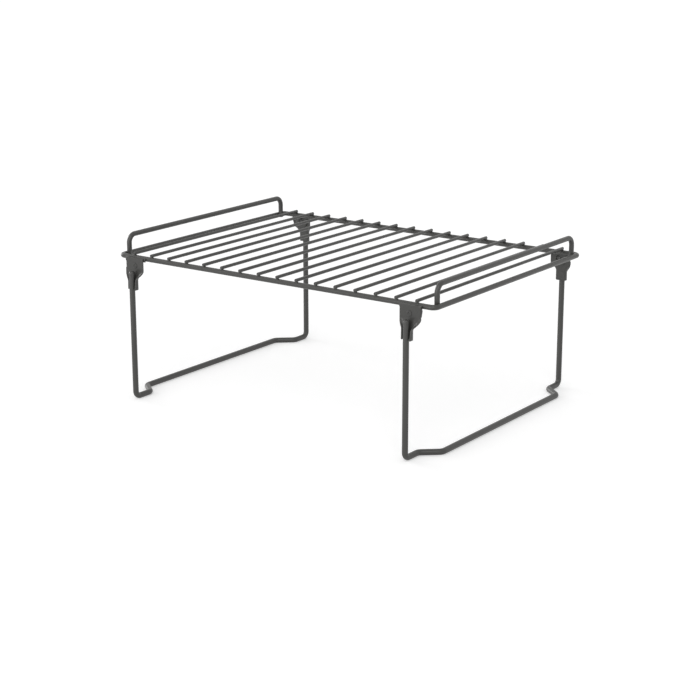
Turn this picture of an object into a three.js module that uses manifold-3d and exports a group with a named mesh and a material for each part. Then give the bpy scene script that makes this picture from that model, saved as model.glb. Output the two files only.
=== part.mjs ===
// Stackable wire shelf: a welded rod deck with side rails, on two wire legs that fold under it.
// Millimetres, +Z up, front edge towards -Y, origin on the floor below the middle of the shelf.
import * as THREE from 'three';
import { mergeVertices } from 'three/addons/utils/BufferGeometryUtils.js';
import Module from 'manifold-3d';

// Overall size
const SHELF_WIDTH = 330;
const SHELF_DEPTH = 255;
const SHELF_HEIGHT = 145;

// Deck frame: one rod bent into a rounded rectangle, butt-welded
const FRAME_ROD = 4.2;
const FRAME_CENTRE_HEIGHT = 126;
const FRAME_CORNER_RADIUS = 4.7;

// Deck wires, welded across the front and back rods
const DECK_WIRE = 2.6;
const DECK_WIRE_COUNT = 16;
const END_WIRE_INSET = 16.5;
const WIRE_END_SETBACK = 1.1;

// Side rails, lapped on the inside of the end rods
const RAIL_ROD = 4.2;
const RAIL_POST_INSET = 7.8;
const RAIL_BEND_RADIUS = 7;
const RAIL_SET_DOWN = 1;

// Leg wires: two posts, two feet and a bottom bar set outwards, from one rod
const LEG_ROD = 4.8;
const LEG_INSET = 22.6;
const LEG_TOP_BELOW_PIVOT = 4;
const LEG_BEND_RADIUS = 5;
const FOOT_LENGTH = 18.7;
const JOG_LENGTH = 12.5;
const JOG_OFFSET = 15.2;
const JOG_BEND_RADIUS = 6.3;

// Pivot, lug and rivet
const PIVOT_BELOW_FRAME = 6.2;
const LUG_SHEET = 1.2;
const LUG_STEM_WIDTH = 13;
const LUG_BAR_WIDTH = 21;
const LUG_BAR_RISE = 0.8;
const LUG_SHOULDER_DROP = 2.4;
const RIVET_SHANK = 3;
const RIVET_HEAD = 5;
const RIVET_HEAD_HEIGHT = 0.4;
const RIVET_TAIL_HEIGHT = 0.7;
const RIVET_DIMPLE = 1.8;
const RIVET_DIMPLE_DEPTH = 0.3;

// Leg bracket: a flat plate whose edges roll up, lower down, into a channel round the leg wire;
// the outer edge is the wider one and carries the stop ear
const BRACKET_SHEET = 1.2;
const PLATE_RISE = 0.8;
const PLATE_CORNER = 1.2;
const BRACKET_DROP = 20.5;
const BEND_LENGTH = 2.2;
const WALL_HEIGHT = 3.2;
const JOGGLE = 1.75;
const JOGGLE_START = 3.8;
const JOGGLE_LENGTH = 8.5;
const INNER_HALF = 9.2;
const INNER_FLAT = 5.5;
const INNER_ROLL_START = 4.1;
const INNER_ROLL_LENGTH = 7.9;
const OUTER_HALF = 10.6;
const OUTER_FLAT = 6.2;
const OUTER_ROLL_START = 3.7;
const OUTER_ROLL_LENGTH = 9.7;
const EAR_DEPTH = 2.4;
const EAR_LENGTH = 5.4;

// Clearances
const WELD_GAP = 0.1;
const SEAT_GAP = 0.1;
const LEG_WELD_GAP = 0.15;
const CHANNEL_GAP = 1.5;
const SWING_GAP = 0.3;
const STOP_GAP = 0.3;
const PIVOT_GAP = 0.2;

// Facets
const ROD_SIDES = 12;
const BEND_STEPS = 5;
const ROUND_STEPS = 20;
const ROLL_STEPS = 10;

const COATING = 0x4b4a49;

// Places that follow from the sizes: outward distances are from the middle of the shelf
const endRodX = (SHELF_WIDTH - FRAME_ROD) / 2;
const legX = SHELF_WIDTH / 2 - LEG_INSET;
const legOut = (SHELF_DEPTH - LEG_ROD) / 2;
const floorOuter = legOut - LEG_ROD / 2 - LEG_WELD_GAP;
const plateOuter = floorOuter - JOGGLE;
const plateInner = plateOuter - BRACKET_SHEET;
const lugOuter = plateInner - SWING_GAP;
const lugInner = lugOuter - LUG_SHEET;
const frameOuter = lugInner - WELD_GAP;
const longRodY = frameOuter - FRAME_ROD / 2;
const pivotHeight = FRAME_CENTRE_HEIGHT - PIVOT_BELOW_FRAME;
const plateTop = FRAME_CENTRE_HEIGHT + PLATE_RISE;
const shoulderHeight = FRAME_CENTRE_HEIGHT - LUG_SHOULDER_DROP;
const deckWirePitch = (2 * (endRodX - END_WIRE_INSET)) / (DECK_WIRE_COUNT - 1);
const deckWireHeight = FRAME_CENTRE_HEIGHT + (FRAME_ROD + DECK_WIRE) / 2 + WELD_GAP;
const railX = endRodX - (FRAME_ROD + RAIL_ROD) / 2 + RAIL_SET_DOWN;
const railHeight = SHELF_HEIGHT - RAIL_ROD / 2;

const wasm = await Module();
wasm.setup();

const at = (x, y, z) => new THREE.Vector3(x, y, z);

// Closed solid from a geometry, for joining and cutting
function toSolid(geometry) {
  const bare = geometry.clone();
  bare.deleteAttribute('normal');
  bare.deleteAttribute('uv');
  const merged = mergeVertices(bare, 1e-4);
  const mesh = new wasm.Mesh({
    numProp: 3,
    vertProperties: new Float32Array(merged.attributes.position.array),
    triVerts: new Uint32Array(merged.index.array),
  });
  return new wasm.Manifold(mesh);
}

// Geometry from a joined or cut solid
function toGeometry(solid) {
  const mesh = solid.getMesh();
  const geometry = new THREE.BufferGeometry();
  geometry.setAttribute('position', new THREE.BufferAttribute(mesh.vertProperties, 3));
  geometry.setIndex(new THREE.BufferAttribute(mesh.triVerts, 1));
  geometry.computeVertexNormals();
  return geometry;
}

// Centre line of a rod with a station only where a straight or a bend step ends
class RodPath extends THREE.Curve {
  constructor(stations) {
    super();
    this.stations = stations;
  }

  getUtoTmapping(u) {
    return u;
  }

  getPoint(t, target = new THREE.Vector3()) {
    const place = t * (this.stations.length - 1);
    const index = Math.min(Math.floor(place + 1e-6), this.stations.length - 2);
    const [from, to] = [this.stations[index], this.stations[index + 1]];
    return target.copy(from.point).lerp(to.point, place - index);
  }

  getTangent(t, target = new THREE.Vector3()) {
    const index = Math.round(t * (this.stations.length - 1));
    return target.copy(this.stations[index].tangent);
  }
}

// Stations of a rod bent at each inner corner, with one radius for each of those corners
function bentStations(corners, radii) {
  const first = corners[1].clone().sub(corners[0]).normalize();
  const stations = [{ point: corners[0].clone(), tangent: first }];
  for (let i = 1; i < corners.length - 1; i += 1) {
    const before = corners[i].clone().sub(corners[i - 1]).normalize();
    const after = corners[i + 1].clone().sub(corners[i]).normalize();
    const turn = before.angleTo(after);
    const radius = radii[i - 1];
    const axis = before.clone().cross(after).normalize();
    const start = corners[i].clone().addScaledVector(before, -radius * Math.tan(turn / 2));
    const arm = axis.clone().cross(before).multiplyScalar(-radius);
    const centre = start.clone().sub(arm);
    for (let k = 0; k <= BEND_STEPS; k += 1) {
      const angle = (turn * k) / BEND_STEPS;
      const point = arm.clone().applyAxisAngle(axis, angle).add(centre);
      stations.push({ point, tangent: before.clone().applyAxisAngle(axis, angle) });
    }
  }
  const [last, end] = corners.slice(-2);
  stations.push({ point: end.clone(), tangent: end.clone().sub(last).normalize() });
  return stations;
}

// Round section with a flat towards each axis, so that the stated diameter is across the flats
function rodSection(diameter) {
  const radius = diameter / 2 / Math.cos(Math.PI / ROD_SIDES);
  const points = [];
  for (let i = 0; i < ROD_SIDES; i += 1) {
    const angle = ((i + 0.5) * 2 * Math.PI) / ROD_SIDES;
    points.push(new THREE.Vector2(radius * Math.cos(angle), radius * Math.sin(angle)));
  }
  return new THREE.Shape(points);
}

// Rod of one diameter along a bent centre line
function rod(corners, radii, diameter) {
  const extrudePath = new RodPath(bentStations(corners, radii));
  const steps = extrudePath.stations.length - 1;
  return new THREE.ExtrudeGeometry(rodSection(diameter), { steps, extrudePath, bevelEnabled: false });
}

// Flat sheet cut to an outline drawn in X and Z, between two outward distances at the front
function sheet(shape, inner, outer) {
  const options = { depth: outer - inner, bevelEnabled: false, curveSegments: ROUND_STEPS };
  return new THREE.ExtrudeGeometry(shape, options).rotateX(Math.PI / 2).translate(0, -inner, 0);
}

// Round bar along Y through the pivot, between two outward distances at the front
function pivotBar(diameter, inner, outer) {
  const radius = diameter / 2;
  const bar = new THREE.CylinderGeometry(radius, radius, outer - inner, ROUND_STEPS);
  return bar.translate(0, -(inner + outer) / 2, 0).translate(0, 0, pivotHeight);
}

// Half of the deck frame, from one middle of the shelf round the end to the other
function frameHalf(side, diameter) {
  const seam = -side * FRAME_ROD;
  const x = side * endRodX;
  const corners = [
    at(seam, -longRodY, FRAME_CENTRE_HEIGHT),
    at(x, -longRodY, FRAME_CENTRE_HEIGHT),
    at(x, longRodY, FRAME_CENTRE_HEIGHT),
    at(seam, longRodY, FRAME_CENTRE_HEIGHT),
  ];
  return toSolid(rod(corners, [FRAME_CORNER_RADIUS, FRAME_CORNER_RADIUS], diameter));
}

function frameSolid(diameter) {
  return frameHalf(-1, diameter).add(frameHalf(1, diameter));
}

const frame = frameSolid(FRAME_ROD);
const frameWithGap = frameSolid(FRAME_ROD + 2 * WELD_GAP);

function deckWire(index) {
  const x = (index - (DECK_WIRE_COUNT - 1) / 2) * deckWirePitch;
  const reach = frameOuter - WIRE_END_SETBACK;
  const ends = [at(x, -reach, deckWireHeight), at(x, reach, deckWireHeight)];
  return rod(ends, [], DECK_WIRE);
}

// Inverted U whose posts are set into the side of the end rod
function sideRail(side) {
  const x = side * railX;
  const y = longRodY - RAIL_POST_INSET;
  const low = FRAME_CENTRE_HEIGHT - FRAME_ROD / 2;
  const corners = [at(x, -y, low), at(x, -y, railHeight), at(x, y, railHeight), at(x, y, low)];
  const bent = rod(corners, [RAIL_BEND_RADIUS, RAIL_BEND_RADIUS], RAIL_ROD);
  return toGeometry(toSolid(bent).subtract(frameWithGap));
}

// The right leg: the left one is the same wire turned end for end
function legWire() {
  const top = pivotHeight - LEG_TOP_BELOW_PIVOT;
  const low = LEG_ROD / 2;
  const footEnd = legOut - FOOT_LENGTH;
  const barEnd = footEnd - JOG_LENGTH;
  const barX = legX + JOG_OFFSET;
  const half = (y) => [at(legX, y * legOut, low), at(legX, y * footEnd, low), at(barX, y * barEnd, low)];
  const back = half(1).reverse();
  const corners = [at(legX, -legOut, top), ...half(-1), ...back, at(legX, legOut, top)];
  const halfRadii = [LEG_BEND_RADIUS, JOG_BEND_RADIUS, JOG_BEND_RADIUS];
  return rod(corners, [...halfRadii, ...halfRadii.slice().reverse()], LEG_ROD);
}

// T-shaped lug on the outer side of the long rod, at the front and centred on X = 0
function hingeLug() {
  const stem = LUG_STEM_WIDTH / 2;
  const bar = LUG_BAR_WIDTH / 2;
  const top = FRAME_CENTRE_HEIGHT + LUG_BAR_RISE;
  const outline = new THREE.Shape();
  outline.moveTo(-bar, top);
  outline.lineTo(-bar, shoulderHeight);
  outline.lineTo(-stem, shoulderHeight);
  outline.absarc(0, pivotHeight, stem, Math.PI, 2 * Math.PI, false);
  outline.lineTo(stem, shoulderHeight);
  outline.lineTo(bar, shoulderHeight);
  outline.lineTo(bar, top);
  outline.closePath();
  const hole = pivotBar(RIVET_SHANK + 2 * SEAT_GAP, lugInner - 1, lugOuter + 1);
  return toGeometry(toSolid(sheet(outline, lugInner, lugOuter)).subtract(toSolid(hole)));
}

// Semi-tubular rivet: tail behind the lug, shank through both sheets, dimpled head outside
function rivet() {
  const tailFace = lugInner - SEAT_GAP;
  const headFace = plateOuter + SEAT_GAP;
  const headTop = headFace + RIVET_HEAD_HEIGHT;
  const profile = [
    [0, headTop - RIVET_DIMPLE_DEPTH],
    [RIVET_DIMPLE / 2 - RIVET_DIMPLE_DEPTH / 2, headTop - RIVET_DIMPLE_DEPTH],
    [RIVET_DIMPLE / 2, headTop],
    [RIVET_HEAD / 2 - RIVET_HEAD_HEIGHT / 2, headTop],
    [RIVET_HEAD / 2, headFace + RIVET_HEAD_HEIGHT / 2],
    [RIVET_HEAD / 2, headFace],
    [RIVET_SHANK / 2, headFace],
    [RIVET_SHANK / 2, tailFace],
    [RIVET_HEAD / 2, tailFace],
    [RIVET_HEAD / 2 - RIVET_TAIL_HEIGHT / 2, tailFace - RIVET_TAIL_HEIGHT],
    [0, tailFace - RIVET_TAIL_HEIGHT],
  ];
  const points = profile.map(([radius, out]) => new THREE.Vector2(radius, -out));
  return new THREE.LatheGeometry(points, ROUND_STEPS).translate(0, 0, pivotHeight);
}

// Closed body through level rings of points, from the top ring down
function loft(rings) {
  const count = rings[0].length;
  const positions = rings.flat().flatMap((point) => point.toArray());
  const index = [];
  for (let r = 0; r < rings.length - 1; r += 1) {
    for (let k = 0; k < count; k += 1) {
      const upper = r * count + k;
      const upperNext = r * count + ((k + 1) % count);
      index.push(upper, upper + count, upperNext + count, upper, upperNext + count, upperNext);
    }
  }
  const cap = (ring, offset, upwards) => {
    const contour = ring.map((point) => new THREE.Vector2(point.x, point.y));
    for (const [a, b, c] of THREE.ShapeUtils.triangulateShape(contour, [])) {
      const ab = contour[b].clone().sub(contour[a]);
      const ac = contour[c].clone().sub(contour[a]);
      const flip = ab.cross(ac) > 0 !== upwards;
      index.push(offset + a, offset + (flip ? c : b), offset + (flip ? b : c));
    }
  };
  cap(rings[0], 0, true);
  cap(rings[rings.length - 1], (rings.length - 1) * count, false);
  const geometry = new THREE.BufferGeometry();
  geometry.setAttribute('position', new THREE.Float32BufferAttribute(positions, 3));
  geometry.setIndex(index);
  return geometry;
}

// How far a length of sheet has gone from 0 at one height to 1 lower down
function progress(height, from, length) {
  return THREE.MathUtils.clamp((from - height) / length, 0, 1);
}

// An edge of the bracket: half width and flat at the top, where its roll starts and how far it goes
function rolledEdge(half, flat, start, length) {
  const from = pivotHeight - start;
  const turn = (height) => THREE.MathUtils.smoothstep(progress(height, from, length), 0, 1);
  return { half, flat, from, end: from - length, turn };
}

const innerEdge = rolledEdge(INNER_HALF, INNER_FLAT, INNER_ROLL_START, INNER_ROLL_LENGTH);
const outerEdge = rolledEdge(OUTER_HALF, OUTER_FLAT, OUTER_ROLL_START, OUTER_ROLL_LENGTH);

// One side of the bracket's middle line at one height, from the centre to the edge, as [x, out, angle]
function bracketHalf(height, side) {
  const step = pivotHeight - JOGGLE_START;
  const set = THREE.MathUtils.smoothstep(progress(height, step, JOGGLE_LENGTH), 0, 1);
  const turn = side.turn(height);
  const cornerCut = Math.max(0, PLATE_CORNER - (plateTop - height));
  const angle = (Math.PI / 2) * turn;
  const bendRadius = BEND_LENGTH / (Math.PI / 2);
  const channelHalf = LEG_ROD / 2 + CHANNEL_GAP + BRACKET_SHEET / 2;
  const flatHalf = THREE.MathUtils.lerp(side.flat, channelHalf - bendRadius, turn);
  const wallEdge = channelHalf - bendRadius + BEND_LENGTH + WALL_HEIGHT - bendRadius - BRACKET_SHEET / 2;
  const edge = THREE.MathUtils.lerp(side.half, wallEdge, turn) - cornerCut;
  const middle = plateOuter - BRACKET_SHEET / 2 + set * JOGGLE;
  const line = [[flatHalf, middle, 0]];
  const bendSteps = 3;
  for (let k = 1; k <= bendSteps; k += 1) {
    const [x, out, from] = line[line.length - 1];
    const mid = from + angle / bendSteps / 2;
    const length = BEND_LENGTH / bendSteps;
    line.push([x + length * Math.cos(mid), out + length * Math.sin(mid), (angle * k) / bendSteps]);
  }
  const [x, out] = line[line.length - 1];
  const wall = edge - flatHalf - BEND_LENGTH;
  line.push([x + wall * Math.cos(angle), out + wall * Math.sin(angle), angle]);
  return line;
}

// Ring of the bracket's sheet at one height, with its outer side towards -Y; hand is the wide edge's side
function bracketRing(height, hand) {
  const right = bracketHalf(height, hand > 0 ? outerEdge : innerEdge);
  const left = bracketHalf(height, hand > 0 ? innerEdge : outerEdge);
  const whole = [...left.map(([x, out, angle]) => [-x, out, -angle]).reverse(), ...right];
  const side = (sign) => whole.map(([x, out, angle]) => {
    const shift = (sign * BRACKET_SHEET) / 2;
    return at(x - shift * Math.sin(angle), -(out + shift * Math.cos(angle)), height);
  });
  return [...side(1), ...side(-1).reverse()];
}

// Leg bracket at the front and centred on X = 0; hand is the side of its wide edge and stop ear
function legBracket(hand) {
  const heights = [plateTop, plateTop - PLATE_CORNER];
  const rollTop = Math.max(innerEdge.from, outerEdge.from, pivotHeight - JOGGLE_START);
  const rollEnd = Math.min(innerEdge.end, outerEdge.end, pivotHeight - JOGGLE_START - JOGGLE_LENGTH);
  for (let k = 0; k <= ROLL_STEPS; k += 1) {
    heights.push(THREE.MathUtils.lerp(rollTop, rollEnd, k / ROLL_STEPS));
  }
  heights.push(pivotHeight - BRACKET_DROP);
  const hole = pivotBar(RIVET_SHANK + 2 * PIVOT_GAP, plateInner - 1, plateOuter + 1);
  const earTop = shoulderHeight - STOP_GAP;
  const ear = new THREE.BoxGeometry(BRACKET_SHEET, EAR_DEPTH + BRACKET_SHEET / 2, EAR_LENGTH);
  ear.translate(
    hand * (OUTER_HALF - BRACKET_SHEET / 2),
    -(plateInner - EAR_DEPTH + (EAR_DEPTH + BRACKET_SHEET / 2) / 2),
    earTop - EAR_LENGTH / 2,
  );
  const formed = toSolid(loft(heights.map((height) => bracketRing(height, hand)))).add(toSolid(ear));
  return toGeometry(formed.subtract(toSolid(hole)));
}

const shelf = new THREE.Group();
shelf.name = 'wire_shelf';

function addPiece(name, geometry, x = 0, turn = 0) {
  const material = new THREE.MeshStandardMaterial({ color: COATING, roughness: 0.55, metalness: 0.2 });
  const mesh = new THREE.Mesh(geometry, material);
  mesh.name = name;
  mesh.position.x = x;
  mesh.rotation.z = turn;
  shelf.add(mesh);
}

addPiece('frame_rod', toGeometry(frame));
for (let i = 0; i < DECK_WIRE_COUNT; i += 1) {
  addPiece(`deck_wire_${String(i + 1).padStart(2, '0')}`, deckWire(i));
}
addPiece('side_rail_left', sideRail(-1));
addPiece('side_rail_right', sideRail(1));
addPiece('leg_wire_left', legWire(), 0, Math.PI);
addPiece('leg_wire_right', legWire());
for (const [end, turn] of [['front', 0], ['back', Math.PI]]) {
  for (const [side, sign] of [['left', -1], ['right', 1]]) {
    const hand = end === 'front' ? sign : -sign;
    addPiece(`hinge_lug_${end}_${side}`, hingeLug(), sign * legX, turn);
    addPiece(`rivet_${end}_${side}`, rivet(), sign * legX, turn);
    addPiece(`leg_bracket_${end}_${side}`, legBracket(hand), sign * legX, turn);
  }
}

export default shelf;
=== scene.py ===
"""Looks of a low stackable wire shelf with folding legs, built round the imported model."""
import logging
import math
from dataclasses import dataclass, field
from enum import Enum
from typing import Callable

import bmesh
import bpy
from mathutils import Matrix, Vector


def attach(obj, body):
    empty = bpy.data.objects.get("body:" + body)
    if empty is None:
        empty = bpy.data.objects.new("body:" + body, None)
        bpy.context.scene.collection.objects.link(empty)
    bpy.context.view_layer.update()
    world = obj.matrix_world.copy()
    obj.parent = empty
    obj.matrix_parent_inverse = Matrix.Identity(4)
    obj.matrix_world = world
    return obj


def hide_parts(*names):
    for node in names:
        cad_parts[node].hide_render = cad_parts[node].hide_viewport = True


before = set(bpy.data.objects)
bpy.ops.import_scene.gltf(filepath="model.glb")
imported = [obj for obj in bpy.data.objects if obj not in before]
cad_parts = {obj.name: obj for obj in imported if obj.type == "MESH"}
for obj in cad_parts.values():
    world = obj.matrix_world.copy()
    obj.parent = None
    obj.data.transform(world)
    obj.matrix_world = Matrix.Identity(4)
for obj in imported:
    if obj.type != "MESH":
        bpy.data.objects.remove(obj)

LOG = logging.getLogger("wire_shelf")
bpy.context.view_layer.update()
DECK_BODY = "deck"

Triple = tuple[float, float, float]
Colour = tuple[float, float, float, float]

# Sizes of the pieces are in millimetres, and MM turns them into metres
MM = 0.001
PIVOT_HEIGHT = 119.8
DRILL_LENGTH = 4.0
DRILL_SIDES = 40

# Heights closer than this many millimetres are one level
LEVEL_SLACK = 0.01

# Curvature, per millimetre, that a bend is worked out with where the sheet is still flat
LEAST_CURVE = 1e-6

# Distances in metres, within which points are merged or count as being at one place
MERGE_WITHIN = 0.000002
SAME_PLACE = 0.000001

# Degrees: edges flatter than the first three are shaded smooth, and a sheet's cut edges are steeper
ROD_SMOOTH = 40.0
BEAD_SMOOTH = 80.0
SHEET_SMOOTH = 35.0
CUT_EDGE = 55.0

# A right angle in radians
QUARTER_TURN = math.pi / 2

# Sockets of a Mix node that mixes colours
MIX_FACTOR, MIX_FIRST, MIX_SECOND, MIX_RESULT = 0, 6, 7, 2
WHITE: Colour = (1.0, 1.0, 1.0, 1.0)


class Sign(Enum):
    """A direction along one axis of the shelf."""

    @property
    def word(self) -> str:
        """Returns the direction's name as it stands in the names of pieces."""
        return self.name.lower()

    @property
    def opposite(self) -> "Sign":
        """Returns the other direction along the same axis."""
        return type(self)(-self.value)


class Side(Sign):
    """Ends of the shelf, by the sign of X."""

    LEFT = -1
    RIGHT = 1


class Edge(Sign):
    """Long edges of the shelf, by the sign of Y."""

    FRONT = -1
    BACK = 1


class Element(Enum):
    """What is selected in a mesh."""

    POINT = "VERT"
    EDGE = "EDGE"
    FACE = "FACE"


class Zone(Enum):
    """Strips of the bracket's sheet, from its middle to its edge."""

    FLAT = "flat"
    BEND = "bend"
    WALL = "wall"


def mm(*values: float) -> Vector:
    """Returns a point given in millimetres as a vector in metres."""
    return Vector(values) * MM


def ease(part: float) -> float:
    """Returns a smooth step from 0 to 1 for a part that runs from 0 to 1."""
    part = min(max(part, 0.0), 1.0)
    return part * part * (3 - 2 * part)


def even_steps(start: float, end: float, count: int) -> list[float]:
    """Returns the values from start to end, both of them included, in a count of even steps."""
    return [start + (end - start) * k / count for k in range(count + 1)]


def clear_selection() -> None:
    """Deselects every object, so that an operator only acts on what comes next."""
    bpy.ops.object.select_all(action="DESELECT")


def select_alone(obj: bpy.types.Object) -> None:
    """Selects one object and nothing else, and makes it the active one.

    Args:
        obj: The object that the next operators act on.
    """
    clear_selection()
    obj.select_set(True)
    bpy.context.view_layer.objects.active = obj


def edit(obj: bpy.types.Object) -> None:
    """Opens one object in edit mode with nothing selected in it.

    Args:
        obj: The object that is edited.
    """
    select_alone(obj)
    bpy.ops.object.mode_set(mode="EDIT")
    bpy.ops.mesh.select_all(action="DESELECT")


def edit_new() -> bpy.types.Object:
    """Puts a new primitive's place into its mesh and opens it in edit mode, all selected.

    Returns:
        The new object.
    """
    obj = bpy.context.object
    bpy.ops.object.transform_apply(location=True, rotation=True, scale=True)
    bpy.ops.object.mode_set(mode="EDIT")
    bpy.ops.mesh.select_all(action="SELECT")
    return obj


def leave_edit() -> None:
    """Returns to object mode."""
    bpy.ops.object.mode_set(mode="OBJECT")


def draw_out(step: Vector) -> None:
    """Extrudes what is selected in edit mode by a step in metres."""
    bpy.ops.mesh.extrude_region_move(TRANSFORM_OT_translate={"value": step})


def pick(obj: bpy.types.Object, kind: Element, wanted: Callable[[Vector], bool]) -> int:
    """Selects elements of the mesh in edit mode by the place of their points.

    Args:
        obj: The object in edit mode.
        kind: Points, edges or faces.
        wanted: Says of a point whether it counts; an element counts if all its points do.

    Returns:
        How many elements were selected.
    """
    bpy.ops.mesh.select_all(action="DESELECT")
    bpy.ops.mesh.select_mode(type=kind.value)
    mesh = bmesh.from_edit_mesh(obj.data)
    rows = {Element.POINT: mesh.verts, Element.EDGE: mesh.edges, Element.FACE: mesh.faces}[kind]
    found = 0
    for item in rows:
        points = [item] if kind is Element.POINT else item.verts
        if all(wanted(point.co) for point in points):
            item.select_set(True)
            found += 1
    mesh.select_flush_mode()
    bmesh.update_edit_mesh(obj.data)
    return found


def apply_modifier(obj: bpy.types.Object, kind: str, **settings: object) -> None:
    """Adds a modifier with the given settings and applies it.

    Args:
        obj: The object that is changed.
        kind: Blender's name of the modifier's type.
        settings: Values of the modifier's properties.
    """
    select_alone(obj)
    modifier = obj.modifiers.new(kind.title(), kind)
    for key, value in settings.items():
        setattr(modifier, key, value)
    bpy.ops.object.modifier_apply(modifier=modifier.name)


def drill(obj: bpy.types.Object, diameter: float, out: float) -> None:
    """Drills a round hole for a rivet through a sheet at the front, centred on X = 0.

    Args:
        obj: The sheet.
        diameter: The hole's diameter in millimetres.
        out: How far the sheet is from the shelf's middle, in millimetres.
    """
    clear_selection()
    bpy.ops.mesh.primitive_cylinder_add(
        vertices=DRILL_SIDES,
        radius=diameter / 2 * MM,
        depth=DRILL_LENGTH * MM,
        location=mm(0, -out, PIVOT_HEIGHT),
        rotation=(QUARTER_TURN, 0, 0),
    )
    bit = bpy.context.object
    apply_modifier(obj, "BOOLEAN", operation="DIFFERENCE", solver="EXACT", object=bit)
    discard(bit)


def settle(obj: bpy.types.Object, name: str, smooth: float) -> bpy.types.Object:
    """Puts an object's place into its mesh, turns its faces outwards and shades it.

    Args:
        obj: The finished piece.
        name: The piece's name.
        smooth: Edges flatter than this many degrees are shaded smooth.

    Returns:
        The same object.
    """
    edit(obj)
    bpy.ops.mesh.select_all(action="SELECT")
    bpy.ops.mesh.remove_doubles(threshold=MERGE_WITHIN)
    bpy.ops.mesh.normals_make_consistent(inside=False)
    leave_edit()
    bpy.ops.object.transform_apply(location=True, rotation=True, scale=True)
    bpy.ops.object.shade_smooth_by_angle(angle=math.radians(smooth))
    obj.name = name
    obj.data.name = name
    return obj


def copy_to(obj: bpy.types.Object, name: str, place: Matrix) -> bpy.types.Object:
    """Copies a modelled piece with a mesh of its own.

    Args:
        obj: The piece that is repeated.
        name: The copy's name.
        place: Where the copy goes, put into its mesh.

    Returns:
        The copy.
    """
    twin = obj.copy()
    twin.data = obj.data.copy()
    twin.data.transform(place)
    twin.name = name
    twin.data.name = name
    bpy.context.scene.collection.objects.link(twin)
    return twin


def discard(obj: bpy.types.Object) -> None:
    """Removes a pattern or a tool once it has done its work.

    Args:
        obj: The object that goes, with its mesh.
    """
    mesh = obj.data
    bpy.data.objects.remove(obj)
    bpy.data.meshes.remove(mesh)


def hand_over(obj: bpy.types.Object, body: str, finish: "PowderCoat", *nodes: str) -> None:
    """Gives a piece its finish, its body and the solids that it stands for.

    Args:
        obj: The finished piece.
        body: The body that it moves with.
        finish: The coat that it is dressed in.
        nodes: The solids of the frame that it replaces.
    """
    obj.data.materials.clear()
    obj.data.materials.append(finish.material())
    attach(obj, body)
    if nodes:
        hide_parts(*nodes)
    LOG.info("piece %s on %s, %d faces", obj.name, body, len(obj.data.polygons))


def math_node(
    tree: bpy.types.NodeTree, operation: str, *sources: bpy.types.NodeSocket | float
) -> bpy.types.NodeSocket:
    """Adds a Math node.

    Args:
        tree: The node tree that it goes into.
        operation: Blender's name of the operation.
        sources: What goes into it, in order: a socket or a plain number.

    Returns:
        The node's output.
    """
    node = tree.nodes.new("ShaderNodeMath")
    node.operation = operation
    for socket, source in zip(node.inputs, sources):
        if isinstance(source, bpy.types.NodeSocket):
            tree.links.new(source, socket)
        else:
            socket.default_value = source
    return node.outputs[0]


def seen_directly(tree: bpy.types.NodeTree) -> bpy.types.NodeSocket:
    """Tells what is seen by the camera, in a reflection or through glass from what only lights.

    Args:
        tree: The node tree of a material or of the world.

    Returns:
        A socket that is 1 for what is seen, else 0.
    """
    path = tree.nodes.new("ShaderNodeLightPath")
    seen = path.outputs["Is Camera Ray"]
    for ray in ("Is Glossy Ray", "Is Transmission Ray"):
        seen = math_node(tree, "MAXIMUM", seen, path.outputs[ray])
    return seen


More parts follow.
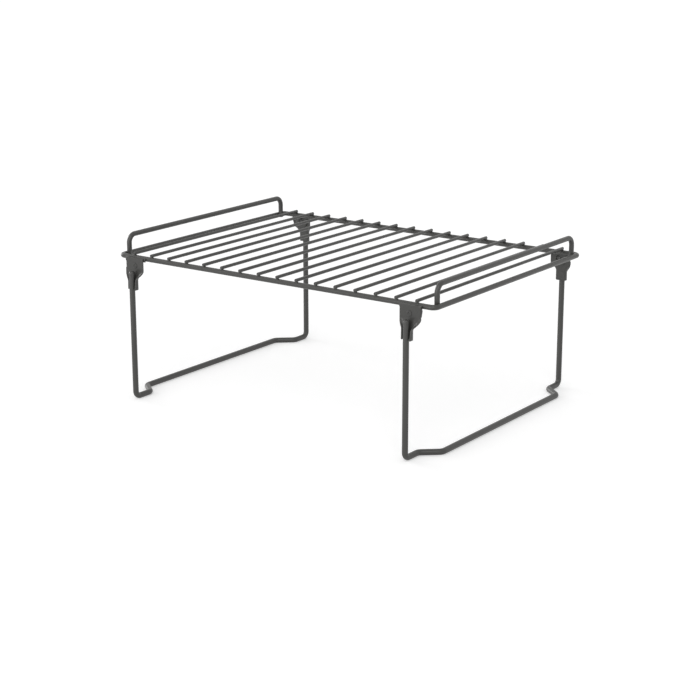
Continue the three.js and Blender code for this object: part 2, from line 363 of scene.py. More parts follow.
@dataclass(frozen=True)
class CoatTexture:
    """The node group that gives every powder coat its mottling, orange peel and grain."""

    name: str = "Coat Texture"
    mottle_detail: float = 4.0
    peel_detail: float = 2.0
    grain_fineness: float = 2.3
    grain_share: float = 0.35

    def group(self) -> bpy.types.NodeTree:
        """Builds the group the first time it is asked for.

        Returns:
            The group, with outputs for colour, roughness and height.
        """
        if self.name in bpy.data.node_groups:
            return bpy.data.node_groups[self.name]
        tree = bpy.data.node_groups.new(self.name, "ShaderNodeTree")
        self._add_sockets(tree)
        entry = tree.nodes.new("NodeGroupInput").outputs
        leave = tree.nodes.new("NodeGroupOutput").inputs
        place = tree.nodes.new("ShaderNodeTexCoord").outputs["Object"]
        mottle = self._noise(tree, place, entry["Mottle Scale"], self.mottle_detail)
        peel = self._noise(tree, place, entry["Peel Scale"], self.peel_detail)
        grain = tree.nodes.new("ShaderNodeTexVoronoi")
        grain.feature = "SMOOTH_F1"
        tree.links.new(place, grain.inputs["Vector"])
        fineness = math_node(tree, "MULTIPLY", entry["Peel Scale"], self.grain_fineness)
        tree.links.new(fineness, grain.inputs["Scale"])
        colour = tree.nodes.new("ShaderNodeMix")
        colour.data_type = "RGBA"
        tree.links.new(mottle, colour.inputs[MIX_FACTOR])
        tree.links.new(entry["Dark"], colour.inputs[MIX_FIRST])
        tree.links.new(entry["Light"], colour.inputs[MIX_SECOND])
        tree.links.new(colour.outputs[MIX_RESULT], leave["Colour"])
        rough = tree.nodes.new("ShaderNodeMapRange")
        tree.links.new(peel, rough.inputs["Value"])
        tree.links.new(entry["Rough Low"], rough.inputs["To Min"])
        tree.links.new(entry["Rough High"], rough.inputs["To Max"])
        tree.links.new(rough.outputs["Result"], leave["Roughness"])
        height = math_node(
            tree, "MULTIPLY_ADD", grain.outputs["Distance"], self.grain_share, peel
        )
        tree.links.new(height, leave["Height"])
        return tree

    def _add_sockets(self, tree: bpy.types.NodeTree) -> None:
        """Names the group's inputs and outputs.

        Args:
            tree: The group.
        """
        for name in ("Dark", "Light"):
            tree.interface.new_socket(name, in_out="INPUT", socket_type="NodeSocketColor")
        for name in ("Mottle Scale", "Peel Scale", "Rough Low", "Rough High"):
            tree.interface.new_socket(name, in_out="INPUT", socket_type="NodeSocketFloat")
        tree.interface.new_socket("Colour", in_out="OUTPUT", socket_type="NodeSocketColor")
        for name in ("Roughness", "Height"):
            tree.interface.new_socket(name, in_out="OUTPUT", socket_type="NodeSocketFloat")

    def _noise(
        self,
        tree: bpy.types.NodeTree,
        place: bpy.types.NodeSocket,
        scale: bpy.types.NodeSocket,
        detail: float,
    ) -> bpy.types.NodeSocket:
        """Adds a noise that lies still on the piece.

        Args:
            tree: The group.
            place: Where on the piece it is read.
            scale: How fine it is.
            detail: How many finer layers it has.

        Returns:
            The noise's value.
        """
        noise = tree.nodes.new("ShaderNodeTexNoise")
        noise.inputs["Detail"].default_value = detail
        tree.links.new(place, noise.inputs["Vector"])
        tree.links.new(scale, noise.inputs["Scale"])
        return noise.outputs["Fac"]


@dataclass(frozen=True)
class PowderCoat:
    """A satin powder coat over steel, with a fine orange peel."""

    name: str
    dark: Colour
    light: Colour
    mottle_scale: float = 55.0
    peel_scale: float = 900.0
    rough_low: float = 0.32
    rough_high: float = 0.44
    bump: float = 0.06
    bump_depth: float = 0.2
    specular: float = 0.5
    texture: CoatTexture = CoatTexture()

    def material(self) -> bpy.types.Material:
        """Makes the coat's material the first time it is asked for.

        Returns:
            The material.
        """
        if self.name in bpy.data.materials:
            return bpy.data.materials[self.name]
        made = bpy.data.materials.new(self.name)
        made.use_nodes = True
        tree = made.node_tree
        shader = tree.nodes["Principled BSDF"]
        shader.inputs["Metallic"].default_value = 0.0
        shader.inputs["Specular IOR Level"].default_value = self.specular
        texture = tree.nodes.new("ShaderNodeGroup")
        texture.node_tree = self.texture.group()
        texture.inputs["Dark"].default_value = self.dark
        texture.inputs["Light"].default_value = self.light
        texture.inputs["Mottle Scale"].default_value = self.mottle_scale
        texture.inputs["Peel Scale"].default_value = self.peel_scale
        texture.inputs["Rough Low"].default_value = self.rough_low
        texture.inputs["Rough High"].default_value = self.rough_high
        relief = tree.nodes.new("ShaderNodeBump")
        relief.inputs["Strength"].default_value = self.bump
        relief.inputs["Distance"].default_value = self.bump_depth * MM
        tree.links.new(texture.outputs["Colour"], shader.inputs["Base Color"])
        tree.links.new(texture.outputs["Roughness"], shader.inputs["Roughness"])
        tree.links.new(texture.outputs["Height"], relief.inputs["Height"])
        tree.links.new(relief.outputs["Normal"], shader.inputs["Normal"])
        return made


GRAPHITE_DARK: Colour = (0.0395, 0.0390, 0.0365, 1.0)
GRAPHITE_LIGHT: Colour = (0.0500, 0.0495, 0.0465, 1.0)
# The rivets' colours are darker than the coat on every other piece: painted shade at the pivot
PIVOT_SHADE_DARK: Colour = (0.0335, 0.0330, 0.0310, 1.0)
PIVOT_SHADE_LIGHT: Colour = (0.0450, 0.0445, 0.0420, 1.0)
WIRE_COAT = PowderCoat("wire_coat", GRAPHITE_DARK, GRAPHITE_LIGHT)
SHEET_COAT = PowderCoat(
    "sheet_coat", GRAPHITE_DARK, GRAPHITE_LIGHT, rough_low=0.26, rough_high=0.36
)
RIVET_SHADED_COAT = PowderCoat("rivet_coat", PIVOT_SHADE_DARK, PIVOT_SHADE_LIGHT, mottle_scale=240.0)


@dataclass
class RodBender:
    """Bends round rod the way a wire former does: straight feed, then a turn about a former."""

    diameter: float
    sides: int = 32
    bend_steps: int = 10
    end_break: float = 0.35
    end_segments: int = 5

    def bend(
        self, name: str, corners: list[Vector], radii: list[float], loop: bool = False
    ) -> bpy.types.Object:
        """Makes one rod along a line of corners.

        Args:
            name: The rod's name.
            corners: Points of the centre line in millimetres, bent at each inner one.
            radii: Bend radius at each inner corner, in millimetres.
            loop: Whether the rod's end meets its start, as in a butt-welded ring.

        Returns:
            The rod.
        """
        points = [corner * MM for corner in corners]
        heading = (points[1] - points[0]).normalized()
        clear_selection()
        bpy.ops.mesh.primitive_circle_add(
            vertices=self.sides,
            radius=self.diameter * MM / 2,
            fill_type="NOTHING" if loop else "NGON",
            location=points[0],
            rotation=heading.to_track_quat("Z", "Y").to_euler(),
        )
        obj = edit_new()
        here = points[0]
        for corner, after, radius in zip(points[1:-1], points[2:], radii):
            here, heading = self._turn(here, heading, corner, after, radius * MM)
        draw_out(points[-1] - here)
        leave_edit()
        if not loop:
            self._break_ends(obj)
        return settle(obj, name, ROD_SMOOTH)

    def _turn(
        self, here: Vector, heading: Vector, corner: Vector, after: Vector, radius: float
    ) -> tuple[Vector, Vector]:
        """Feeds the rod to a corner's bend and turns it.

        Args:
            here: Where the rod's end is.
            heading: Which way it points.
            corner: The corner that the straights meet at.
            after: The next corner.
            radius: Bend radius of the centre line.

        Returns:
            The rod's end and heading after the bend.
        """
        leaving = (after - corner).normalized()
        turn = heading.angle(leaving)
        setback = radius * math.tan(turn / 2)
        start = corner - heading * setback
        axis = heading.cross(leaving).normalized()
        centre = start + axis.cross(heading) * radius
        draw_out(start - here)
        bpy.ops.mesh.spin(steps=self.bend_steps, angle=-turn, center=centre, axis=axis)
        return corner + leaving * setback, leaving

    def _break_ends(self, obj: bpy.types.Object) -> None:
        """Takes the sharp edge off both cut ends.

        Args:
            obj: The rod.
        """
        edit(obj)
        bpy.ops.mesh.select_mode(type=Element.FACE.value)
        bpy.ops.mesh.select_face_by_sides(number=self.sides)
        bpy.ops.mesh.bevel(
            offset=self.end_break * MM, segments=self.end_segments, affect="EDGES"
        )
        leave_edit()


@dataclass
class WeldBead:
    """A small squeezed-out bead where two wires are spot welded."""

    width: float
    length: float
    height: float
    pinch: float = 0.72
    crown_share: float = 0.125
    segments: int = 14
    rings: int = 8

    def pattern(self) -> bpy.types.Object:
        """Models one bead at the origin, with its crown pinched in along both sides.

        Returns:
            The pattern bead.
        """
        clear_selection()
        bpy.ops.mesh.primitive_uv_sphere_add(
            segments=self.segments, ring_count=self.rings, radius=MM / 2
        )
        obj = edit_new()
        bpy.ops.transform.resize(value=(self.width, self.length, self.height))
        crown = self.height * self.crown_share * MM
        pick(obj, Element.POINT, lambda co: co.z > crown)
        bpy.ops.transform.resize(value=(self.pinch, 1, 1), center_override=(0, 0, 0))
        leave_edit()
        return settle(obj, "bead_pattern", BEAD_SMOOTH)

    def run(self, name: str, places: list[Vector]) -> bpy.types.Object:
        """Copies the bead to each place and joins the copies into one piece.

        Args:
            name: The piece's name.
            places: Where the beads are, in millimetres.

        Returns:
            The joined beads.
        """
        pattern = self.pattern()
        beads = [
            copy_to(pattern, f"{name}_{index}", Matrix.Translation(place * MM))
            for index, place in enumerate(places)
        ]
        discard(pattern)
        select_alone(beads[0])
        for bead in beads:
            bead.select_set(True)
        bpy.ops.object.join()
        beads[0].name = name
        beads[0].data.name = name
        return beads[0]


@dataclass
class Deck:
    """The welded deck: frame rod, cross wires and side rails."""

    end_rod_x: float = 162.8
    long_rod_y: float = 115.8
    frame_height: float = 126.0
    frame_rod: float = 4.4
    corner_radius: float = 4.7
    wire: float = 2.8
    wire_count: int = 16
    wire_sides: int = 24
    wire_end_break: float = 0.3
    end_wire_x: float = 146.4
    wire_height: float = 129.6
    wire_reach: float = 116.9
    rail_rod: float = 4.4
    rail_x: float = 159.7
    rail_post_y: float = 108.1
    rail_height: float = 142.8
    rail_bend: float = 7.0
    weld_sink: float = 0.05
    wire_bead_sink: float = 0.1
    rail_bead_rise: float = 0.4
    wire_bead: WeldBead = field(default_factory=lambda: WeldBead(3.7, 3.0, 1.3))
    rail_bead: WeldBead = field(default_factory=lambda: WeldBead(1.6, 3.6, 4.4))

    def build(self) -> None:
        """Models the deck's pieces and dresses them."""
        self.build_frame()
        self.build_wires()
        self.build_rails()

    def build_frame(self) -> None:
        """Bends the frame rod and closes it at the middle of the back."""
        x, y, z = self.end_rod_x, self.long_rod_y, self.frame_height
        turns = [(-x, y, z), (-x, -y, z), (x, -y, z), (x, y, z)]
        joint = Vector((0, y, z))
        corners = [joint, *map(Vector, turns), joint]
        radii = [self.corner_radius] * len(turns)
        ring = RodBender(self.frame_rod).bend("deck_frame", corners, radii, loop=True)
        hand_over(ring, DECK_BODY, WIRE_COAT, "frame_rod")

    def wire_x(self, index: int) -> float:
        """Returns where a deck wire lies along the shelf, in millimetres."""
        return self.end_wire_x * (2 * index / (self.wire_count - 1) - 1)

    def build_wires(self) -> None:
        """Cuts one deck wire, copies it along the frame and adds its spot welds."""
        height = self.wire_height - self.weld_sink
        ends = [Vector((0, -self.wire_reach, height)), Vector((0, self.wire_reach, height))]
        cutter = RodBender(self.wire, sides=self.wire_sides, end_break=self.wire_end_break)
        pattern = cutter.bend("wire_pattern", ends, [])
        for index in range(self.wire_count):
            number = f"{index + 1:02d}"
            place = Matrix.Translation(mm(self.wire_x(index), 0, 0))
            wire = copy_to(pattern, f"cross_wire_{number}", place)
            hand_over(wire, DECK_BODY, WIRE_COAT, f"deck_wire_{number}")
        discard(pattern)
        contact = self.frame_height + self.frame_rod / 2 - self.wire_bead_sink
        for edge in Edge:
            y = edge.value * self.long_rod_y
            places = [Vector((self.wire_x(index), y, contact)) for index in range(self.wire_count)]
            welds = self.wire_bead.run(f"wire_welds_{edge.word}", places)
            hand_over(welds, DECK_BODY, WIRE_COAT)

    def build_rails(self) -> None:
        """Bends both side rails and adds the welds on the end rods."""
        low = self.frame_height - self.frame_rod / 2
        y, top = self.rail_post_y, self.rail_height
        for side in Side:
            x = side.value * self.rail_x
            corners = [Vector(p) for p in ((x, -y, low), (x, -y, top), (x, y, top), (x, y, low))]
            rail = RodBender(self.rail_rod).bend(
                f"rail_{side.word}", corners, [self.rail_bend] * 2
            )
            hand_over(rail, DECK_BODY, WIRE_COAT, f"side_rail_{side.word}")
            joint = side.value * (self.rail_x + self.end_rod_x) / 2
            height = self.frame_height + self.rail_bead_rise
            places = [Vector((joint, edge.value * y, height)) for edge in Edge]
            welds = self.rail_bead.run(f"rail_welds_{side.word}", places)
            hand_over(welds, DECK_BODY, WIRE_COAT)


@dataclass
class RolledEdge:
    """One edge of the bracket: its half width and flat at the top, and where it rolls up."""

    half: float
    flat: float
    start: float
    length: float

    def turn(self, height: float) -> float:
        """Returns how far the edge has rolled up at a height, from 0 to 1."""
        return ease((self.start - height) / self.length)


@dataclass(frozen=True)
class SheetColumn:
    """A line down the bracket's sheet: its side of the middle, its strip and its place there."""

    side: Side
    zone: Zone
    part: float


@dataclass
class LegBracket:
    """A sheet bracket: a flat plate whose edges roll up into a channel, with a stop ear.

    The ear is folded from the wide edge. The right-hand wall grows taller towards the foot.
    """

    sheet: float = 1.2
    plate_top: float = 126.8
    plate_outer: float = 120.8
    plate_corner: float = 1.2
    foot: float = 99.3
    bend_length: float = 2.2
    channel_half: float = 4.5
    wall_height: float = 3.2
    tall_wall_growth: float = 2.2
    low_wall_growth: float = 0.4
    joggle: float = 1.75
    joggle_start: float = 116.0
    joggle_length: float = 8.5
    ear_top: float = 123.3
    ear_length: float = 5.4
    ear_depth: float = 1.6
    ear_taper: float = 0.85
    ear_bend: float = 0.8
    ear_relief: float = 0.4
    edge_break: float = 0.35
    hole: float = 3.4
    inner: RolledEdge = field(default_factory=lambda: RolledEdge(9.2, 5.5, 115.7, 7.9))
    outer: RolledEdge = field(default_factory=lambda: RolledEdge(10.6, 6.2, 116.1, 9.7))
    flat_columns: int = 8
    bend_columns: int = 7
    wall_columns: int = 1
    corner_rows: int = 3
    ear_rows: int = 4
    roll_rows: int = 40
    foot_rows: int = 4
    ear_steps: int = 4
    edge_segments: int = 3

    @property
    def former(self) -> float:
        """Returns the radius that the edges are rolled to, in millimetres."""
        return self.bend_length / QUARTER_TURN

    @property
    def middle(self) -> float:
        """Returns how far the plate's middle surface is from the shelf's middle."""
        return self.plate_outer - self.sheet / 2

    @property
    def ear_foot(self) -> float:
        """Returns the height of the stop ear's lower end."""
        return self.ear_top - self.ear_length

    def rows(self) -> list[float]:
        """Lists the heights of the sheet's rows.

        Returns:
            The heights in millimetres, from the sheet's top to its foot.
        """
        roll_end = self.outer.start - self.outer.length
        corner_end = self.plate_top - self.plate_corner
        rows = even_steps(self.plate_top, corner_end, self.corner_rows)
        rows.append(self.ear_top + self.ear_relief)
        rows += even_steps(self.ear_top, self.ear_foot, self.ear_rows)
        rows.append(self.ear_foot - self.ear_relief)
        rows += even_steps(self.outer.start, roll_end, self.roll_rows)
        return rows + even_steps(roll_end, self.foot, self.foot_rows)[1:]

    def columns(self) -> list[SheetColumn]:
        """Lists the sheet's columns.

        Returns:
            The columns from edge to edge.
        """
        counts = {
            Zone.FLAT: self.flat_columns,
            Zone.BEND: self.bend_columns,
            Zone.WALL: self.wall_columns,
        }
        half = [(zone, k / count) for zone, count in counts.items() for k in range(1, count + 1)]
        left = [SheetColumn(Side.LEFT, zone, part) for zone, part in reversed(half)]
        right = [SheetColumn(Side.RIGHT, zone, part) for zone, part in half]
        return left + [SheetColumn(Side.RIGHT, Zone.FLAT, 0.0)] + right

    def at_ear(self, height: float) -> bool:
        """Returns whether the stop ear is folded from the wide edge at a height."""
        return self.ear_foot - LEVEL_SLACK < height < self.ear_top + LEVEL_SLACK

    def edge_reach(self, rolled: RolledEdge, height: float) -> float:
        """Works out how far the sheet reaches from its middle line at a height, laid flat.

        Args:
            rolled: The edge.
            height: Height above the floor.

        Returns:
            The reach in millimetres.
        """
        bent = self.bend_length + self.wall_height - 2 * self.former
        wall_edge = self.channel_half + bent - self.sheet / 2
        turn = rolled.turn(height)
        corner = max(self.plate_corner - (self.plate_top - height), 0.0)
        cut = self.plate_corner - math.sqrt(max(self.plate_corner**2 - corner**2, 0.0))
        return rolled.half * (1 - turn) + wall_edge * turn - cut

    def wall_width(self, column: SheetColumn, height: float, hand: Side) -> float:
        """Works out how wide the sheet is beyond the bend at a height.

        Args:
            column: A column of the wall.
            height: Height above the floor.
            hand: Side of the wide edge.

        Returns:
            The width in millimetres.
        """
        rolled = self.outer if column.side is hand else self.inner
        turn = rolled.turn(height)
        reach = self.edge_reach(rolled, height)
        if column.side is hand and self.at_ear(height):
            reach -= self.ear_bend + self.sheet / 2
        right = column.side is Side.RIGHT
        growth = self.tall_wall_growth if right else self.low_wall_growth
        below = (rolled.start - height) / (rolled.start - self.foot)
        reach += growth * min(max(below, 0.0), 1.0) * turn
        return reach - self.flat_half(rolled, height) - self.bend_length

    def flat_half(self, rolled: RolledEdge, height: float) -> float:
        """Works out how far the flat reaches from the middle line at a height.

        Args:
            rolled: The edge on that side.
            height: Height above the floor.

        Returns:
            The reach in millimetres.
        """
        turn = rolled.turn(height)
        return rolled.flat * (1 - turn) + (self.channel_half - self.former) * turn

    def point(self, column: SheetColumn, height: float, hand: Side) -> Vector:
        """Works out a point of the sheet's middle surface, with outwards towards -Y.

        Args:
            column: The column that the point is in.
            height: Height above the floor.
            hand: Side of the wide edge.

        Returns:
            The point in millimetres.
        """
        rolled = self.outer if column.side is hand else self.inner
        flat_half = self.flat_half(rolled, height)
        ramp = ease((self.joggle_start - height) / self.joggle_length)
        out = self.middle + ramp * self.joggle
        if column.zone is Zone.FLAT:
            return Vector((column.side.value * column.part * flat_half, -out, height))
        angle = QUARTER_TURN * rolled.turn(height)
        curve = max(angle / self.bend_length, LEAST_CURVE)
        along = self.bend_length * (column.part if column.zone is Zone.BEND else 1.0)
        x = flat_half + math.sin(curve * along) / curve
        rise = (1 - math.cos(curve * along)) / curve
        if column.zone is Zone.WALL:
            wall = self.wall_width(column, height, hand) * column.part
            x += wall * math.cos(angle)
            rise += wall * math.sin(angle)
        return Vector((column.side.value * x, -(out + rise), height))

    def model(self, hand: Side) -> bpy.types.Object:
        """Forms the sheet of one bracket, at the front and centred on X = 0.

        Args:
            hand: Side of the wide edge.

        Returns:
            The bracket.
        """
        rows = self.rows()
        columns = self.columns()
        clear_selection()
        bpy.ops.mesh.primitive_grid_add(
            x_subdivisions=len(columns) - 1,
            y_subdivisions=len(rows) - 1,
            size=2.0,
            location=(0, 0, 0),
        )
        obj = bpy.context.object
        edit(obj)
        mesh = bmesh.from_edit_mesh(obj.data)
        for vertex in mesh.verts:
            column = round((vertex.co.x + 1) / 2 * (len(columns) - 1))
            row = round((1 - vertex.co.y) / 2 * (len(rows) - 1))
            vertex.co = self.point(columns[column], rows[row], hand) * MM
        bmesh.update_edit_mesh(obj.data)
        self._fold_ear(obj, hand)
        bpy.ops.mesh.select_all(action="SELECT")
        bpy.ops.mesh.normals_make_consistent(inside=False)
        leave_edit()
        apply_modifier(
            obj, "SOLIDIFY", thickness=self.sheet * MM, offset=0.0, use_even_offset=True
        )
        self._break_edges(obj, hand)
        drill(obj, self.hole, self.middle)
        return settle(obj, f"bracket_pattern_{hand.word}", SHEET_SMOOTH)

    def _fold_ear(self, obj: bpy.types.Object, hand: Side) -> None:
        """Folds the stop ear inwards along the wide edge.

        Args:
            obj: The sheet, in edit mode.
            hand: Side of the ear.
        """
        edge = (self.outer.half - self.ear_bend - self.sheet / 2) * MM
        found = pick(
            obj,
            Element.EDGE,
            lambda co: abs(hand.value * co.x - edge) < SAME_PLACE and self.at_ear(co.z / MM),
        )
        LOG.info("stop ear folded along %d edges", found)
        fold = self.middle - self.ear_bend
        centre = Vector((hand.value * edge, -fold * MM, self.ear_top * MM))
        bpy.ops.mesh.spin(
            steps=self.ear_steps, angle=-hand.value * QUARTER_TURN, center=centre, axis=(0, 0, 1)
        )
        draw_out(Vector((0, 0, 0)))
        deepest = self.ear_depth + self.sheet / 2 - self.ear_bend
        mesh = bmesh.from_edit_mesh(obj.data)
        for vertex in mesh.verts:
            if vertex.select:
                below = (self.ear_top - vertex.co.z / MM) / self.ear_length
                vertex.co.y += deepest * (1 - self.ear_taper * ease(below)) * MM
        bmesh.update_edit_mesh(obj.data)

    def _break_edges(self, obj: bpy.types.Object, hand: Side) -> None:
        """Rounds the sheet's cut edges, up to where the stop ear is sheared from the plate.

        Args:
            obj: The formed sheet.
            hand: Side of the ear.
        """
        edit(obj)
        bpy.ops.mesh.select_mode(type=Element.EDGE.value)
        bpy.ops.mesh.edges_select_sharp(sharpness=math.radians(CUT_EDGE))
        fold = self.outer.half - self.ear_bend - 2 * self.sheet
        low = self.ear_foot - self.ear_relief - LEVEL_SLACK
        high = self.ear_top + self.ear_relief + LEVEL_SLACK
        mesh = bmesh.from_edit_mesh(obj.data)
        for edge in mesh.edges:
            points = [vertex.co / MM for vertex in edge.verts]
            if edge.select and all(hand.value * p.x > fold and low < p.z < high for p in points):
                edge.select_set(False)
        bmesh.update_edit_mesh(obj.data)
        bpy.ops.mesh.bevel(
            offset=self.edge_break * MM,
            segments=self.edge_segments,
            affect="EDGES",
            clamp_overlap=True,
        )
        leave_edit()


@dataclass
class HingeLug:
    """A T-shaped plate on the outer side of the long rod, with the pivot in its round foot."""

    inner: float = 118.1
    sheet: float = 1.2
    stem_width: float = 13.0
    bar_width: float = 21.0
    shoulder: float = 123.6
    top: float = 126.8
    hole: float = 3.2
    edge_break: float = 0.25
    edge_segments: int = 2
    foot_sides: int = 64

    def model(self) -> bpy.types.Object:
        """Cuts one lug from sheet, at the front and centred on X = 0.

        Returns:
            The lug.
        """
        middle = self.inner + self.sheet / 2
        pivot = mm(0, -middle, PIVOT_HEIGHT)
        clear_selection()
        bpy.ops.mesh.primitive_circle_add(
            vertices=self.foot_sides,
            radius=self.stem_width / 2 * MM,
            fill_type="NGON",
            location=pivot,
            rotation=(QUARTER_TURN, 0, 0),
        )
        obj = edit_new()
        bpy.ops.mesh.bisect(plane_co=pivot, plane_no=(0, 0, 1), clear_outer=True)
        pick(obj, Element.EDGE, lambda co: abs(co.z - pivot.z) < SAME_PLACE)
        draw_out(mm(0, 0, self.shoulder - PIVOT_HEIGHT))
        draw_out(mm(0, 0, self.top - self.shoulder))
        bar_foot = self.shoulder * MM - SAME_PLACE
        for side in Side:
            stem = side.value * self.stem_width / 2 * MM
            pick(obj, Element.EDGE, lambda co: abs(co.x - stem) < SAME_PLACE and co.z > bar_foot)
            draw_out(mm(side.value * (self.bar_width - self.stem_width) / 2, 0, 0))
        leave_edit()
        apply_modifier(obj, "SOLIDIFY", thickness=self.sheet * MM, offset=0.0)
        apply_modifier(
            obj,
            "BEVEL",
            width=self.edge_break * MM,
            segments=self.edge_segments,
            limit_method="ANGLE",
            angle_limit=math.radians(CUT_EDGE),
        )
        drill(obj, self.hole, middle)
        return settle(obj, "lug_pattern", SHEET_SMOOTH)


@dataclass
class Rivet:
    """A semi-tubular rivet: dimpled low head outside, shank, and a rolled tail behind the lug."""

    head_face: float = 120.85
    tail_face: float = 118.05
    shank: float = 3.0
    head: float = 5.0
    head_height: float = 0.4
    head_break: float = 0.18
    dimple: float = 2.4
    dimple_depth: float = 0.34
    dimple_taper: float = 0.75
    tail_height: float = 0.7
    tail_break: float = 0.3
    tail_rim: float = 1.1
    tail_dish: float = 0.3
    sides: int = 40
    edge_segments: int = 3

    def model(self) -> bpy.types.Object:
        """Sets one rivet, at the front and centred on X = 0.

        Returns:
            The rivet.
        """
        clear_selection()
        bpy.ops.mesh.primitive_cylinder_add(
            vertices=self.sides,
            radius=self.head / 2 * MM,
            depth=self.head_height * MM,
            location=mm(0, -(self.head_face + self.head_height / 2), PIVOT_HEIGHT),
            rotation=(QUARTER_TURN, 0, 0),
        )
        obj = edit_new()
        self._dimple_head(obj)
        self._draw_shank(obj)
        self._roll_tail()
        leave_edit()
        return settle(obj, "rivet_pattern", SHEET_SMOOTH)

    def _pick_face(self, obj: bpy.types.Object, out: float) -> None:
        """Selects the flat of the rivet that is this far from the shelf's middle."""
        pick(obj, Element.FACE, lambda co: abs(co.y + out * MM) < SAME_PLACE)

    def _widen(self, share: float) -> None:
        """Scales what is selected about the rivet's axis."""
        axis = mm(0, 0, PIVOT_HEIGHT)
        bpy.ops.transform.resize(value=(share, 1, share), center_override=axis)

    def _round(self, width: float) -> None:
        """Rounds the edge of the selected flat."""
        bpy.ops.mesh.bevel(offset=width * MM, segments=self.edge_segments, affect="EDGES")

    def _dimple_head(self, obj: bpy.types.Object) -> None:
        """Rounds the head's edge and sinks its dimple.

        Args:
            obj: The head, in edit mode.
        """
        top = self.head_face + self.head_height
        self._pick_face(obj, top)
        self._round(self.head_break)
        self._pick_face(obj, top)
        rim = (self.head - self.dimple) / 2 - self.head_break
        bpy.ops.mesh.inset(thickness=rim * MM)
        draw_out(mm(0, self.dimple_depth, 0))
        self._widen(self.dimple_taper)

    def _draw_shank(self, obj: bpy.types.Object) -> None:
        """Draws the shank out of the head's inner face.

        Args:
            obj: The rivet, in edit mode.
        """
        self._pick_face(obj, self.head_face)
        bpy.ops.mesh.inset(thickness=(self.head - self.shank) / 2 * MM)
        draw_out(mm(0, self.head_face - self.tail_face, 0))

    def _roll_tail(self) -> None:
        """Spreads the shank's end into the tail and dishes it."""
        draw_out(mm(0, 0, 0))
        self._widen(self.head / self.shank)
        draw_out(mm(0, self.tail_height, 0))
        self._round(self.tail_break)
        bpy.ops.mesh.inset(thickness=self.tail_rim * MM)
        bpy.ops.transform.translate(value=mm(0, -self.tail_dish, 0))


@dataclass
class FoldingLegs:
    """Both leg wires with their brackets, lugs and rivets."""

    leg_x: float = 142.4
    leg_out: float = 125.0
    rod: float = 5.0
    end_break: float = 1.8
    top: float = 115.8
    bend: float = 5.0
    foot: float = 18.7
    jog_length: float = 12.5
    jog_offset: float = 15.2
    jog_bend: float = 6.3
    bracket: LegBracket = field(default_factory=LegBracket)
    lug: HingeLug = field(default_factory=HingeLug)
    rivet: Rivet = field(default_factory=Rivet)

    def build(self) -> None:
        """Models the legs and what they turn on, and dresses them."""
        for side in Side:
            self.build_wire(side)
        self.build_corners()

    def build_wire(self, side: Side) -> None:
        """Bends one leg wire from its front post to its back post.

        Args:
            side: The end of the shelf that the leg stands at.
        """
        x = side.value * self.leg_x
        bar_x = side.value * (self.leg_x + self.jog_offset)
        low = self.rod / 2
        foot_end = self.leg_out - self.foot
        bar_end = foot_end - self.jog_length
        back = [
            (bar_x, bar_end, low),
            (x, foot_end, low),
            (x, self.leg_out, low),
            (x, self.leg_out, self.top),
        ]
        corners = [Vector((a, -b, c)) for a, b, c in reversed(back)]
        corners += [Vector(point) for point in back]
        half_radii = [self.jog_bend, self.jog_bend, self.bend]
        radii = half_radii[::-1] + half_radii
        wire = RodBender(self.rod, end_break=self.end_break).bend(
            f"leg_rod_{side.word}", corners, radii
        )
        hand_over(wire, f"{side.word}_leg", WIRE_COAT, f"leg_wire_{side.word}")

    def build_corners(self) -> None:
        """Copies the bracket, lug and rivet to the four corners."""
        brackets = {hand: self.bracket.model(hand) for hand in Side}
        lug = self.lug.model()
        rivet = self.rivet.model()
        for edge in Edge:
            turn = Matrix.Rotation(0.0 if edge is Edge.FRONT else math.pi, 4, "Z")
            for side in Side:
                word = f"{edge.word}_{side.word}"
                place = Matrix.Translation(mm(side.value * self.leg_x, 0, 0)) @ turn
                hand = side if edge is Edge.FRONT else side.opposite
                piece = copy_to(brackets[hand], f"bracket_{word}", place)
                hand_over(piece, f"{side.word}_leg", SHEET_COAT, f"leg_bracket_{word}")
                piece = copy_to(lug, f"lug_{word}", place)
                hand_over(piece, DECK_BODY, SHEET_COAT, f"hinge_lug_{word}")
                # The rivets get the darker colours, which are painted shade at the pivot
                piece = copy_to(rivet, f"pivot_{word}", place)
                hand_over(piece, DECK_BODY, RIVET_SHADED_COAT, f"rivet_{word}")
        for pattern in (*brackets.values(), lug, rivet):
            discard(pattern)


@dataclass(frozen=True)
class SoftLamp:
    """A far, soft lamp: the way that its light comes from, its strength and its spread.

    The strength is the light on a surface that faces the lamp, in watts per square metre. The
    spread is the angle that the lamp fills as seen from the shelf, in degrees.
    """

    name: str
    way: Triple
    strength: float
    spread: float = 30.0

    def hang(self) -> None:
        """Hangs the lamp so that it faces the shelf."""
        data = bpy.data.lights.new(self.name, "SUN")
        data.angle = math.radians(self.spread)
        data.energy = self.strength
        lamp = bpy.data.objects.new(self.name, data)
        lamp.location = Vector(self.way)
        lamp.rotation_euler = (-Vector(self.way)).to_track_quat("-Z", "Y").to_euler()
        bpy.context.scene.collection.objects.link(lamp)


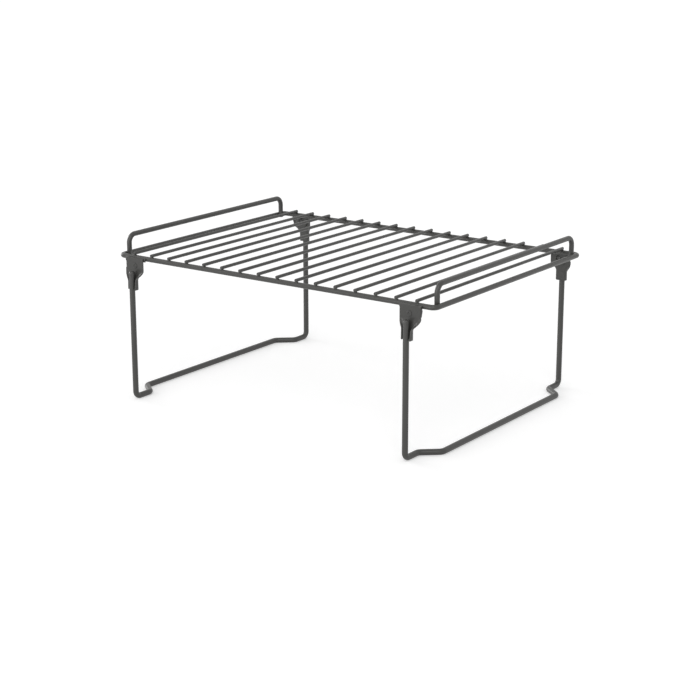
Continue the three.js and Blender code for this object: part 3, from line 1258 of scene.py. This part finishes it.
@dataclass
class Studio:
    """White floor, soft light and the camera.

    The camera's places and its sensor are in millimetres, the floor's size and the depth of the
    view in metres.
    """

    camera_at: Triple = (845.33, -1186.48, 449.51)
    look_at: Triple = (74.63, -104.48, 75.74)
    lens: float = 87.72
    sensor: float = 36.0
    view_depth: float = 50.0
    floor_size: float = 12.0
    floor_colour: Colour = (0.85, 0.85, 0.85, 1.0)
    floor_rough: float = 0.9
    floor_lift: float = 0.31
    ambient: float = 0.60
    lamps: tuple[SoftLamp, ...] = (
        SoftLamp("key", (0.5, -0.9, 0.9), 0.72),
        SoftLamp("front", (-0.2, -1.0, 0.2), 0.82),
        SoftLamp("side", (-1.0, 0.0, 0.25), 1.1),
    )

    def build(self) -> None:
        """Sets up the camera, the floor, the lamps and the view."""
        self.add_camera()
        self.add_floor()
        self.light_world()
        for lamp in self.lamps:
            lamp.hang()
        bpy.context.scene.view_settings.view_transform = "Standard"

    def add_camera(self) -> None:
        """Places the camera where the photograph was taken from."""
        data = bpy.data.cameras.new("photo_camera")
        data.lens = self.lens
        data.sensor_width = self.sensor
        data.sensor_fit = "HORIZONTAL"
        data.clip_end = self.view_depth
        camera = bpy.data.objects.new("photo_camera", data)
        camera.location = mm(*self.camera_at)
        gaze = mm(*self.look_at) - camera.location
        camera.rotation_euler = gaze.to_track_quat("-Z", "Y").to_euler()
        bpy.context.scene.collection.objects.link(camera)
        bpy.context.scene.camera = camera

    def add_floor(self) -> None:
        """Lays a pale floor that looks white and keeps the shelf's shadow."""
        clear_selection()
        bpy.ops.mesh.primitive_plane_add(size=self.floor_size, location=(0, 0, 0))
        floor = bpy.context.object
        floor.name = "studio_floor"
        paint = bpy.data.materials.new("studio_white")
        paint.use_nodes = True
        tree = paint.node_tree
        shader = tree.nodes["Principled BSDF"]
        shader.inputs["Base Color"].default_value = self.floor_colour
        shader.inputs["Roughness"].default_value = self.floor_rough
        shader.inputs["Specular IOR Level"].default_value = 0.0
        lift = tree.nodes.new("ShaderNodeEmission")
        lift.inputs["Color"].default_value = WHITE
        amount = math_node(tree, "MULTIPLY", seen_directly(tree), self.floor_lift)
        tree.links.new(amount, lift.inputs["Strength"])
        both = tree.nodes.new("ShaderNodeAddShader")
        tree.links.new(shader.outputs[0], both.inputs[0])
        tree.links.new(lift.outputs[0], both.inputs[1])
        tree.links.new(both.outputs[0], tree.nodes["Material Output"].inputs["Surface"])
        floor.data.materials.append(paint)

    def light_world(self) -> None:
        """Lights evenly from all round, and looks white wherever it is seen."""
        world = bpy.data.worlds.new("studio_world")
        world.use_nodes = True
        tree = world.node_tree
        even = tree.nodes["Background"]
        even.inputs["Color"].default_value = WHITE
        even.inputs["Strength"].default_value = self.ambient
        white = tree.nodes.new("ShaderNodeBackground")
        white.inputs["Color"].default_value = WHITE
        white.inputs["Strength"].default_value = 1.0
        choose = tree.nodes.new("ShaderNodeMixShader")
        tree.links.new(seen_directly(tree), choose.inputs[0])
        tree.links.new(even.outputs[0], choose.inputs[1])
        tree.links.new(white.outputs[0], choose.inputs[2])
        tree.links.new(choose.outputs[0], tree.nodes["World Output"].inputs["Surface"])
        bpy.context.scene.world = world


def main() -> None:
    """Builds the studio and the shelf in order."""
    logging.basicConfig(level=logging.INFO, format="%(name)s: %(message)s")
    Studio().build()
    Deck().build()
    FoldingLegs().build()


if __name__ == "__main__":
    main()
